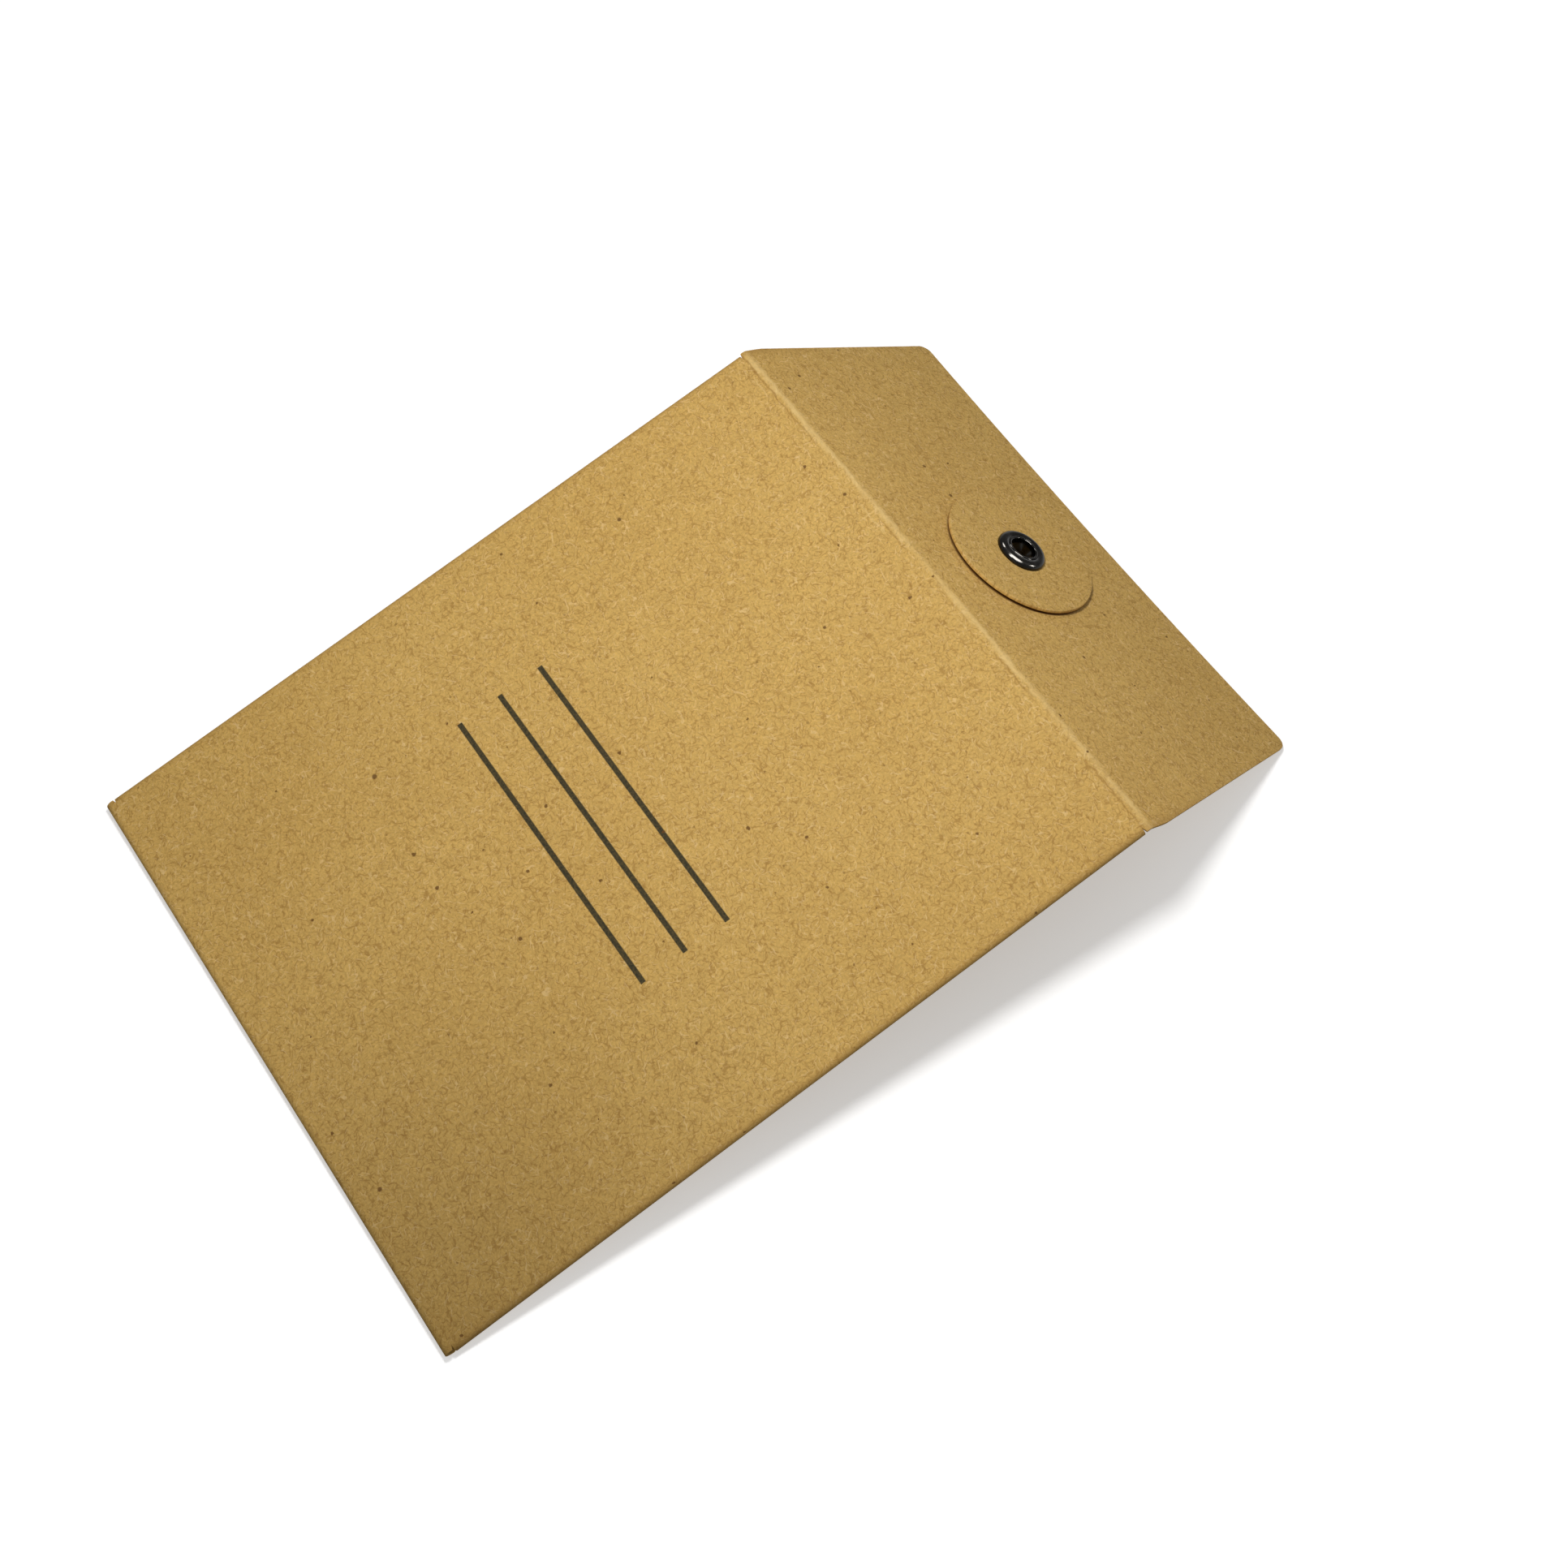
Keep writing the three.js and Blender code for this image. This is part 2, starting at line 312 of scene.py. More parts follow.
def makeFibreGroup():
    tree, given, gives = newGroup(
        "cardFibres",
        [
            ("Vector", "NodeSocketVector", None),
            ("Sparse", "NodeSocketFloat", 0.64),
            ("Seed", "NodeSocketFloat", 0.0),
        ],
        [("Mask", "NodeSocketFloat")],
    )
    values = {"Vector": given["Vector"], "Scale": fibre["wanderScale"], "Detail": 1.0}
    wander = addNode(tree, "ShaderNodeTexNoise", values).outputs["Color"]
    centred = vectorCalc(tree, "SUBTRACT", wander, (0.5, 0.5, 0.5))
    pushed = vectorCalc(tree, "MULTIPLY_ADD", centred, (fibre["wanderMm"],) * 3, given["Vector"])
    total = None
    for index, degrees in enumerate(fibre["directions"]):
        turned = addNode(
            tree,
            "ShaderNodeMapping",
            {
                "Vector": pushed,
                "Rotation": (0, 0, math.radians(degrees)),
                "Scale": (fibre["longMm"], fibre["wideMm"], 1),
            },
            vector_type="TEXTURE",
        )
        seed = calc(tree, "ADD", given["Seed"], index * fibre["seedStep"])
        seeded = addNode(tree, "ShaderNodeCombineXYZ", {"Z": seed}).outputs[0]
        moved = vectorCalc(tree, "ADD", turned.outputs[0], seeded)
        streak = noise(tree, moved, 1.0, 1.0)
        over = calc(tree, "SUBTRACT", streak, given["Sparse"])
        hair = calc(tree, "MULTIPLY", over, fibre["contrast"], clamp=True)
        total = hair if total is None else calc(tree, "MAXIMUM", total, hair)
    tree.links.new(total, gives["Mask"])
    return tree


# Fine curled hairs, cut from the level lines of a noise. Vector is in millimetres.
def makeCurlGroup():
    tree, given, gives = newGroup(
        "cardCurls",
        [
            ("Vector", "NodeSocketVector", None),
            ("PerMm", "NodeSocketFloat", 0.9),
            ("Width", "NodeSocketFloat", 0.03),
            ("Share", "NodeSocketFloat", 0.5),
            ("Seed", "NodeSocketFloat", 0.0),
        ],
        [("Mask", "NodeSocketFloat")],
    )
    seeded = addNode(tree, "ShaderNodeCombineXYZ", {"Z": given["Seed"]}).outputs[0]
    moved = vectorCalc(tree, "ADD", given["Vector"], seeded)
    level = noise(tree, moved, given["PerMm"], 0.6)
    offLine = calc(tree, "ABSOLUTE", calc(tree, "SUBTRACT", level, 0.5))
    line = calc(tree, "DIVIDE", offLine, given["Width"])
    broken = noise(tree, moved, calc(tree, "MULTIPLY", given["PerMm"], 1.7), 1.0)
    over = calc(tree, "SUBTRACT", broken, given["Share"])
    kept = calc(tree, "MULTIPLY", over, fibre["contrast"], clamp=True)
    tree.links.new(calc(tree, "MULTIPLY", ramp(tree, line, 1.0, 0.35), kept), gives["Mask"])
    return tree


# Dark flecks, one in some of the cells of a loose grid. Vector is in millimetres.
def makeFleckGroup():
    tree, given, gives = newGroup(
        "cardFlecks",
        [
            ("Vector", "NodeSocketVector", None),
            ("Cell", "NodeSocketFloat", 6.0),
            ("Radius", "NodeSocketFloat", 0.35),
            ("Share", "NodeSocketFloat", 0.3),
        ],
        [("Mask", "NodeSocketFloat")],
    )
    values = {"Vector": given["Vector"], "Scale": 2.2, "Detail": 2.0}
    rough = addNode(tree, "ShaderNodeTexNoise", values).outputs["Color"]
    bent = vectorCalc(tree, "MULTIPLY_ADD", rough, (0.5, 0.5, 0.5), given["Vector"])
    cells = addNode(
        tree,
        "ShaderNodeTexVoronoi",
        {"Vector": bent, "Scale": calc(tree, "DIVIDE", 1.0, given["Cell"])},
        voronoi_dimensions="2D",
    )
    parts = addNode(tree, "ShaderNodeSeparateColor", {"Color": cells.outputs["Color"]}).outputs
    chosen = calc(tree, "LESS_THAN", parts[0], given["Share"])
    reach = calc(tree, "MULTIPLY", given["Radius"], ramp(tree, parts[1], 0, 1, 0.35, 1.0))
    away = calc(tree, "MULTIPLY", cells.outputs["Distance"], given["Cell"])
    inside = ramp(tree, calc(tree, "DIVIDE", away, reach), 1.1, 0.7)
    tree.links.new(calc(tree, "MULTIPLY", inside, chosen), gives["Mask"])
    return tree


fibreGroup = makeFibreGroup()
curlGroup = makeCurlGroup()
fleckGroup = makeFleckGroup()

# Kraft board, in linear colours
kraft = {
    "base": (0.6, 0.38, 0.11, 1),
    "warm": (0.562, 0.348, 0.096, 1),
    # the dark fibres' colour, also painted as the shadow in the crease
    "darkFibreAndCreaseShadow": (0.32, 0.162, 0.034, 1),
    "lightFibre": (0.80, 0.56, 0.25, 1),
    # the flecks' dark colour, also painted as the shadow under the flap's disc
    "fleckAndDiscShadow": (0.13, 0.055, 0.013, 1),
    "worn": (0.75, 0.53, 0.215, 1),
    # a stain's colour, also painted as shade over the side folds
    "stainAndFoldShade": (0.42, 0.235, 0.06, 1),
    "cloud": (0.028, 2.0),
    "patch": (0.33, 3.0, 0.6),
    "grain": (2.6, 3.0, 0.65),
    "fibres": {"dark": (0.68, 0.0), "thin": (0.66, 90.0), "pale": (0.685, 41.0)},
    "curls": ((0.58, 0.03, 0.47, 3.0), (0.85, 0.038, 0.48, 27.0), (0.42, 0.02, 0.5, 61.0)),
    "paleCurl": {"PerMm": 0.6, "Width": 0.026, "Share": 0.54, "Seed": 83.0},
    "flecks": {"Cell": 7.0, "Radius": 0.36, "Share": 0.2},
    "dust": {"Cell": 3.1, "Radius": 0.2, "Share": 0.3},
    "strength": {
        "dark": 0.5,
        "thin": 0.35,
        "curls": 0.55,
        "pale": 0.5,
        "paleCurls": 0.5,
        "flecks": 0.85,
        "dust": 0.45,
        "discShade": 0.93,
        "sideFoldShade": 0.45,
        "smudge": 0.35,
        "scratch": 0.4,
    },
    "discShadeSoft": 0.3,
    "smudge": ((-9.5, 66.6), (1.1, 0.8), 0.9),
    "scratches": (((-14.5, 119.6), (0.12, 1.6)), ((18.5, 121.2), (2.2, 0.1))),
    "scratchSoft": 0.1,
    "foldReach": 2,
    # where the painted shade towards the bottom corner is centred, how far it reaches and how dark it gets
    "cornerShadeAt": (54, -4),
    "cornerShadeReach": (78, 0),
    "cornerShadeTone": 0.7,
    "spots": (
        ((-19.6, 118.9), 0.3),
        ((-3.8, 103.5), 0.26),
        ((-27.1, 36.2), 0.42),
        ((-45.5, 71.5), 0.24),
        ((-38.5, 89.3), 0.34),
        ((25.4, 4.6), 0.36),
        ((-43.3, 128.5), 0.3),
    ),
    "roughness": (0.78, 0.9),
    "bumpMm": 0.035,
    "specular": 0.06,
}

# Wear along the crease and the painted shadow in it, in millimetres
crease = {
    "ragged": 0.5,
    "raggedNoise": (0.5, 4.0, 0.65),
    "wearNoise": (0.16, 4.0, 0.7),
    "creaseShadowNoise": (0.12, 3.0, 0.6),
    "secondNoise": (0.1, 3.0, 0.7),
    "half": 0.85,
    "worn": 0.72,
    "creaseShadowAt": 120.55,
    "creaseShadowHalf": (0.22, 0.06),
    "creaseShadowStrength": 0.6,
    "creaseShadowFullAt": (-22, -38),
    "secondAt": -1.75,
    "secondHalf": (0.22, 0.05),
    "secondStrength": 0.5,
}

# Ruled lines where an address goes, in millimetres up the panel
ruling = {
    "ink": (0.036, 0.033, 0.018, 1),
    "centre": (-1, 58.5),
    "halfLength": 25,
    "pitch": 7.4,
    "count": 3,
    "halfWidth": 0.42,
    "soft": 0.06,
}


def boxMask(tree, u, v, centre, half, soft):
    across = calc(tree, "ABSOLUTE", calc(tree, "SUBTRACT", u, centre[0]))
    up = calc(tree, "ABSOLUTE", calc(tree, "SUBTRACT", v, centre[1]))
    return calc(
        tree,
        "MULTIPLY",
        ramp(tree, across, half[0] + soft, half[0] - soft),
        ramp(tree, up, half[1] + soft, half[1] - soft),
    )


def makeKraft(name, mainSheet):
    material = bpy.data.materials.new(name)
    material.use_nodes = True
    tree = material.node_tree
    shader = tree.nodes["Principled BSDF"]
    uv = addNode(tree, "ShaderNodeUVMap", uv_map="cardMap").outputs[0]
    inMm = addNode(tree, "ShaderNodeMapping", {"Vector": uv, "Scale": (cardMap["unit"],) * 3}).outputs[0]
    parts = addNode(tree, "ShaderNodeSeparateXYZ", {"Vector": inMm}).outputs
    u, v = parts["X"], parts["Y"]

    cloud = noise(tree, inMm, *kraft["cloud"])
    patch = noise(tree, inMm, *kraft["patch"])
    grain = noise(tree, inMm, *kraft["grain"])
    masks = {}
    for kind, (sparse, seed) in kraft["fibres"].items():
        masks[kind] = useGroup(tree, fibreGroup, {"Vector": inMm, "Sparse": sparse, "Seed": seed})["Mask"]
    curls = None
    for curl in kraft["curls"]:
        values = dict(zip(("PerMm", "Width", "Share", "Seed"), curl))
        mask = useGroup(tree, curlGroup, {"Vector": inMm, **values})["Mask"]
        curls = mask if curls is None else calc(tree, "MAXIMUM", curls, mask)
    masks["curls"] = curls
    masks["paleCurls"] = useGroup(tree, curlGroup, {"Vector": inMm, **kraft["paleCurl"]})["Mask"]
    masks["flecks"] = useGroup(tree, fleckGroup, {"Vector": inMm, **kraft["flecks"]})["Mask"]
    masks["dust"] = useGroup(tree, fleckGroup, {"Vector": inMm, **kraft["dust"]})["Mask"]

    colour = mixColour(tree, ramp(tree, cloud, 0.3, 0.7), kraft["base"], kraft["warm"])
    colour = shade(tree, colour, ramp(tree, patch, 0.25, 0.75, 0.94, 1.05))
    colour = shade(tree, colour, ramp(tree, grain, 0.25, 0.75, 0.8, 1.24))
    strength = kraft["strength"]
    for kind in ("dark", "thin", "curls"):
        colour = layOver(tree, colour, masks[kind], strength[kind], kraft["darkFibreAndCreaseShadow"])
    for kind in ("pale", "paleCurls"):
        colour = layOver(tree, colour, masks[kind], strength[kind], kraft["lightFibre"])
    if mainSheet:
        colour = addSheetMarks(tree, colour, inMm, u, v, grain)
    for kind in ("flecks", "dust"):
        colour = layOver(tree, colour, masks[kind], strength[kind], kraft["fleckAndDiscShadow"])

    height = calc(tree, "MULTIPLY_ADD", grain, 0.6, calc(tree, "MULTIPLY", masks["dark"], -0.35))
    height = calc(tree, "ADD", height, calc(tree, "MULTIPLY", masks["pale"], 0.35))
    values = {"Height": height, "Distance": kraft["bumpMm"] * mm, "Strength": 1.0}
    bump = addNode(tree, "ShaderNodeBump", values)
    tree.links.new(colour, shader.inputs["Base Color"])
    tree.links.new(ramp(tree, patch, 0.2, 0.8, *kraft["roughness"]), shader.inputs["Roughness"])
    tree.links.new(bump.outputs[0], shader.inputs["Normal"])
    shader.inputs["Specular IOR Level"].default_value = kraft["specular"]
    return material


# Wear on the crease with a painted shadow in it, the disc's painted shadow, painted shade on the side folds,
# painted shade towards a bottom corner, specks, a stain, two light scratches and the ruled lines
def addSheetMarks(tree, colour, inMm, u, v, grain):
    strengths = kraft["strength"]
    uneven = noise(tree, inMm, *crease["raggedNoise"])
    ragged = ramp(tree, uneven, 0.3, 0.7, -crease["ragged"], crease["ragged"])
    past = calc(tree, "SUBTRACT", calc(tree, "ADD", v, ragged), card["height"])
    strength = ramp(tree, noise(tree, inMm, *crease["wearNoise"]), 0.32, 0.62, 0.25, 1.0)
    onCrease = ramp(tree, calc(tree, "ABSOLUTE", past), crease["half"], 0.15)
    colour = layOver(tree, colour, calc(tree, "MULTIPLY", onCrease, strength), crease["worn"], kraft["worn"])
    # painted shadow: a broken dark line in the crease, unbroken towards its left end
    fromCreaseShadow = calc(tree, "SUBTRACT", calc(tree, "MULTIPLY_ADD", ragged, -0.6, v), crease["creaseShadowAt"])
    offCreaseShadow = calc(tree, "ABSOLUTE", fromCreaseShadow)
    broken = ramp(tree, noise(tree, inMm, *crease["creaseShadowNoise"]), 0.45, 0.6)
    creaseShadowFull = calc(tree, "MAXIMUM", broken, ramp(tree, u, *crease["creaseShadowFullAt"]))
    groove = calc(tree, "MULTIPLY", ramp(tree, offCreaseShadow, *crease["creaseShadowHalf"]), creaseShadowFull)
    colour = layOver(tree, colour, groove, crease["creaseShadowStrength"], kraft["darkFibreAndCreaseShadow"])
    second = calc(tree, "ABSOLUTE", calc(tree, "SUBTRACT", past, crease["secondAt"]))
    partly = ramp(tree, noise(tree, inMm, *crease["secondNoise"]), 0.5, 0.58)
    thinLine = calc(tree, "MULTIPLY", ramp(tree, second, *crease["secondHalf"]), partly)
    colour = layOver(tree, colour, thinLine, crease["secondStrength"], kraft["worn"])

    # the card that the disc shades, darkened under it as a painted shadow for the dark crescent under its
    # rim
    shaded = distanceTo(tree, inMm, (0, card["height"] + button["flapFromCrease"], 0))
    paintedDiscShadow = ramp(tree, shaded, button["radius"], button["radius"] - kraft["discShadeSoft"])
    colour = layOver(tree, colour, paintedDiscShadow, strengths["discShade"], kraft["fleckAndDiscShadow"])

    # painted shade: the card darkened over the rounded side folds
    fromMiddle = calc(tree, "ABSOLUTE", u)
    onFold = calc(tree, "LESS_THAN", fromMiddle, fullHalf + kraft["foldReach"])
    side = calc(tree, "MULTIPLY", ramp(tree, fromMiddle, frontHalf - 0.5, fullHalf - 0.2), onFold)
    colour = layOver(tree, colour, side, strengths["sideFoldShade"], kraft["stainAndFoldShade"])

    # painted shade: the card darkened towards the bottom corner, for the light that falls off there
    fromShadedCorner = distanceTo(tree, inMm, (*kraft["cornerShadeAt"], 0))
    paintedCornerShade = ramp(tree, fromShadedCorner, *kraft["cornerShadeReach"], 1.0, kraft["cornerShadeTone"], smooth=True)
    colour = shade(tree, colour, paintedCornerShade)

    spots = None
    for spotAt, reach in kraft["spots"]:
        away = distanceTo(tree, inMm, (*spotAt, 0))
        spot = ramp(tree, calc(tree, "DIVIDE", away, reach), 1.2, 0.7)
        spots = spot if spots is None else calc(tree, "MAXIMUM", spots, spot)
    colour = layOver(tree, colour, spots, strengths["flecks"], kraft["fleckAndDiscShadow"])

    smudge = boxMask(tree, u, v, *kraft["smudge"])
    colour = layOver(tree, colour, smudge, strengths["smudge"], kraft["stainAndFoldShade"])
    for centre, half in kraft["scratches"]:
        mark = boxMask(tree, u, v, centre, half, kraft["scratchSoft"])
        colour = layOver(tree, colour, mark, strengths["scratch"], kraft["worn"])

    ink = None
    half = (ruling["halfLength"], ruling["halfWidth"])
    for index in range(ruling["count"]):
        up = ruling["centre"][1] + (index - (ruling["count"] - 1) / 2) * ruling["pitch"]
        line = boxMask(tree, u, v, (ruling["centre"][0], up), half, ruling["soft"])
        ink = line if ink is None else calc(tree, "MAXIMUM", ink, line)
    cover = calc(tree, "MULTIPLY", ink, ramp(tree, grain, 0.3, 0.62, 0.86, 1.0))
    return mixColour(tree, cover, colour, ruling["ink"])


# Plated metal, with its patterns in metres
nickel = {
    "dark": (0.03, 0.028, 0.026, 1),
    "light": (0.055, 0.052, 0.047, 1),
    "haze": (900.0, 3.0, 0.6),
    "waves": (420.0, 1.0),
    "roughness": (0.12, 0.2),
    "bumpMm": 0.02,
    "bumpStrength": 0.3,
}


def makeBlackNickel():
    material = bpy.data.materials.new("blackNickel")
    material.use_nodes = True
    tree = material.node_tree
    shader = tree.nodes["Principled BSDF"]
    where = addNode(tree, "ShaderNodeTexCoord").outputs["Object"]
    haze = noise(tree, where, *nickel["haze"])
    waves = noise(tree, where, *nickel["waves"])
    tint = mixColour(tree, ramp(tree, haze, 0.3, 0.7), nickel["dark"], nickel["light"])
    values = {"Height": waves, "Distance": nickel["bumpMm"] * mm, "Strength": nickel["bumpStrength"]}
    bump = addNode(tree, "ShaderNodeBump", values)
    tree.links.new(tint, shader.inputs["Base Color"])
    tree.links.new(ramp(tree, haze, 0.25, 0.75, *nickel["roughness"]), shader.inputs["Roughness"])
    tree.links.new(bump.outputs[0], shader.inputs["Normal"])
    shader.inputs["Metallic"].default_value = 1.0
    return material


def cornerRows(length, half, radius, steps=7):
    # rows that draw a rounded corner at the end of a strip of this length
    rows = []
    for step in range(steps, -1, -1):
        fromEnd = radius * (1 - math.cos(step / steps * math.pi / 2))
        short = radius - fromEnd
        bulge = math.sqrt(max(0, radius**2 - short**2))
        rows.append((length - fromEnd, half(length - fromEnd) - radius + bulge))
    return rows


def evenRows(start, end, count, half):
    rows = []
    for i in range(1, count + 1):
        distance = start + (end - start) * i / count
        rows.append((distance, half(distance)))
    return rows


def makeSheet():
    flapFlat = card["flapDepth"] - creaseTangent
    lowEnd = bottomRadius + card["neck"] + card["neckFlare"]
    highEnd = card["height"] - creaseTangent - card["neck"] - card["neckFlare"]
    bottomHalf = fullHalf - card["cornerInset"]
    backHalf = fullHalf - card["backInset"]
    alongFlap = (0, math.cos(card["flapAngle"]), -math.sin(card["flapAngle"]))

    def flapHalf(at):
        taper = (card["flapTip"] - card["flapRoot"]) * (at + creaseTangent) / card["flapDepth"]
        return (card["flapRoot"] + taper) / 2

    def neckRows(half):
        return [(card["neckFlare"], half), (card["neckFlare"] + card["neck"], half)]

    def onSide(co, side):
        along = lowEnd - 0.02 < co.y < highEnd + 0.02
        return along and near(co.x, side * frontHalf) and near(co.z, 0)

    clearSelection()
    bpy.ops.mesh.primitive_grid_add(x_subdivisions=card["gridAcross"], y_subdivisions=card["gridUp"], size=1)
    sheet = takeNew("foldedSheet")
    sheet.scale = (2 * frontHalf * mm, (highEnd - lowEnd) * mm, 1)
    sheet.location = (0, (lowEnd + highEnd) / 2 * mm, 0)
    bpy.ops.object.transform_apply(location=True, rotation=True, scale=True)
    startEdit(sheet, "EDGE")

    # up over the crease and down the flap
    pickEdges(sheet, lambda co: near(co.y, highEnd))
    extrudeRows((0, 1, 0), neckRows(fullHalf), frontHalf)
    bpy.ops.mesh.spin(
        steps=card["creaseSteps"],
        angle=card["flapAngle"],
        center=(0, (card["height"] - creaseTangent) * mm, -card["creaseRadius"] * mm),
        axis=(1, 0, 0),
    )
    flapRows = []
    for share in (0.25, 0.5, 0.75, 1):
        change = (flapHalf(card["flapShoulder"]) - fullHalf) * math.sin(share * math.pi / 2)
        flapRows.append((card["flapShoulder"] * share, fullHalf + change))
    flapRows += evenRows(card["flapShoulder"], flapFlat - 3, card["flapRows"], flapHalf)
    flapRows += cornerRows(flapFlat, flapHalf, card["flapCorner"])
    extrudeRows(alongFlap, flapRows, fullHalf)

    # round the bottom fold and up the back panel
    pickEdges(sheet, lambda co: near(co.y, lowEnd) and near(co.z, 0))
    extrudeRows((0, -1, 0), neckRows(bottomHalf), frontHalf)
    bpy.ops.mesh.spin(
        steps=card["bottomSteps"],
        angle=math.pi,
        center=(0, bottomRadius * mm, -bottomRadius * mm),
        axis=(-1, 0, 0),
    )
    backFlat = card["height"] - card["mouthSetback"] - bottomRadius
    backRows = [(2 * card["backInset"], backHalf)]
    backEnd = backFlat - card["mouthCorner"] - 1
    backRows += evenRows(2 * card["backInset"], backEnd, card["backRows"], lambda at: backHalf)
    backRows += cornerRows(backFlat, lambda at: backHalf, card["mouthCorner"])
    extrudeRows((0, 1, 0), backRows, bottomHalf)

    # the side folds with their glue laps
    lapLength = highEnd - lowEnd
    narrowed = (lapLength - 2 * card["lapWidth"] * math.tan(card["lapAngle"])) / lapLength
    for side in (1, -1):
        pickEdges(sheet, lambda co: onSide(co, side))
        bpy.ops.mesh.spin(
            steps=card["sideSteps"],
            angle=math.pi,
            center=(side * frontHalf * mm, 0, -sideRadius * mm),
            axis=(0, -side, 0),
        )
        inward = (-side * card["lapWidth"] * mm, 0, 0)
        bpy.ops.mesh.extrude_region_move(TRANSFORM_OT_translate={"value": inward})
        middle = (0, (lowEnd + highEnd) / 2 * mm, 0)
        bpy.ops.transform.resize(value=(1, narrowed, 1), center_override=middle)

    bpy.ops.mesh.select_all(action="SELECT")
    bpy.ops.mesh.remove_doubles(threshold=0.004 * mm)
    bpy.ops.mesh.normals_make_consistent(inside=False)
    bpy.ops.object.mode_set(mode="OBJECT")
    front = min(sheet.data.polygons, key=lambda face: (face.center - Vector((0, 0.06, 0))).length)
    if front.normal.z < 0:
        sheet.data.flip_normals()

    # the flap's outer edge curves in at its middle
    direction = Vector(alongFlap)
    creaseMiddle = Vector((0, card["height"] * mm, 0))
    for vert in sheet.data.vertices:
        along = (vert.co - creaseMiddle).dot(direction) / mm
        if along > 0 and vert.co.z < 0 and vert.co.y > creaseMiddle.y:
            share = along / card["flapDepth"]
            across = vert.co.x / mm / (card["flapTip"] / 2)
            vert.co -= direction * card["flapHollow"] * max(0, 1 - across**2) * share * mm

    applyModifier(sheet, "SOLIDIFY", thickness=card["thickness"] * mm, offset=-1, use_even_offset=True)
    applyModifier(
        sheet,
        "BEVEL",
        width=card["cutRound"] * mm,
        segments=card["cutSegments"],
        limit_method="ANGLE",
        angle_limit=math.radians(60),
    )
    return sheet


def sheetPlace(co, face):
    # where a point of the folded sheet lies on the card's map, in millimetres
    centre = face.center / mm
    inner = cardMap["innerAside"]
    fromCrease = (co.y - card["height"]) * math.cos(card["flapAngle"]) - co.z * math.sin(card["flapAngle"])
    if centre.y > card["height"] - creaseTangent and fromCrease > 0:
        outward = Vector((0, math.sin(card["flapAngle"]), math.cos(card["flapAngle"])))
        aside = inner if face.normal.dot(outward) < -0.3 else 0
        return co.x + aside, card["height"] + fromCrease
    if centre.z < -bottomRadius:
        aside = 0 if face.normal.z < 0.3 else inner
        return cardMap["backAside"] + aside - co.x, -co.y
    onFront = abs(centre.x) < frontHalf and centre.y > bottomRadius
    aside = inner if face.normal.z < -0.3 and onFront else 0
    overSide = -co.z if abs(co.x) > frontHalf else 0
    return co.x + math.copysign(overSide, co.x) + aside, co.y


button = {
    "radius": 12.9,
    "thickness": 0.6,
    "dish": 0.37,
    "hole": 2.55,
    "rimRound": 0.16,
    "seat": 0.1,
    "flapFromCrease": 20.4,
    "windingGap": 8,
    "facets": 160,
    "rings": 6,
    "rimSegments": 3,
    "holeFacets": 64,
}


def discPlace(co, where):
    return co.x + cardMap["discAside"], co.y + cardMap["discUp"][where]


def onRim(co):
    return near(math.hypot(co.x, co.y), button["radius"], 0.05)


def makeDisc(name):
    clearSelection()
    bpy.ops.mesh.primitive_cylinder_add(
        vertices=button["facets"], radius=button["radius"] * mm, depth=button["thickness"] * mm
    )
    disc = takeNew(name)
    startEdit(disc, "FACE")
    mesh = bmesh.from_edit_mesh(disc.data)
    for face in mesh.faces:
        face.select_set(abs(face.normal.z) > 0.9)
    bmesh.update_edit_mesh(disc.data)
    for ring in range(button["rings"]):
        bpy.ops.mesh.inset(thickness=(button["radius"] - button["hole"]) / button["rings"] * mm, depth=0)
    bpy.ops.mesh.bridge_edge_loops()
    pickEdges(disc, onRim)
    mesh = bmesh.from_edit_mesh(disc.data)
    for edge in mesh.edges:
        if edge.select and abs(edge.verts[0].co.z - edge.verts[1].co.z) > 0.1 * mm:
            edge.select_set(False)
    bmesh.update_edit_mesh(disc.data)
    bpy.ops.mesh.bevel(offset=button["rimRound"] * mm, segments=button["rimSegments"], affect="EDGES")
    bpy.ops.mesh.select_all(action="SELECT")
    bpy.ops.mesh.normals_make_consistent(inside=False)
    bpy.ops.object.mode_set(mode="OBJECT")
    lift = button["seat"] + button["thickness"] / 2
    for vert in disc.data.vertices:
        outward = math.hypot(vert.co.x, vert.co.y) / mm / button["radius"]
        vert.co.z += (lift + button["dish"] * outward**2) * mm
    return disc


eyelet = {
    "hole": 2.15,
    "wall": 0.3,
    "flange": 4.2,
    "height": 1.0,
    "lipWidth": 0.45,
    "lipHeight": 0.15,
    "groove": 0.2,
    "clinch": 3.5,
    "clinchHeight": 0.65,
    "facets": 128,
    "domeSteps": 22,
    "lipSteps": 10,
    "clinchSteps": 14,
    "innerClinchSteps": 12,
    "innerDomeSteps": 14,
}


def arcPoints(middle, across, up, start, end, count):
    points = []
    for i in range(count + 1):
        angle = start + (end - start) * i / count
        points.append((middle[0] + across * math.cos(angle), middle[1] + up * math.sin(angle)))
    return points


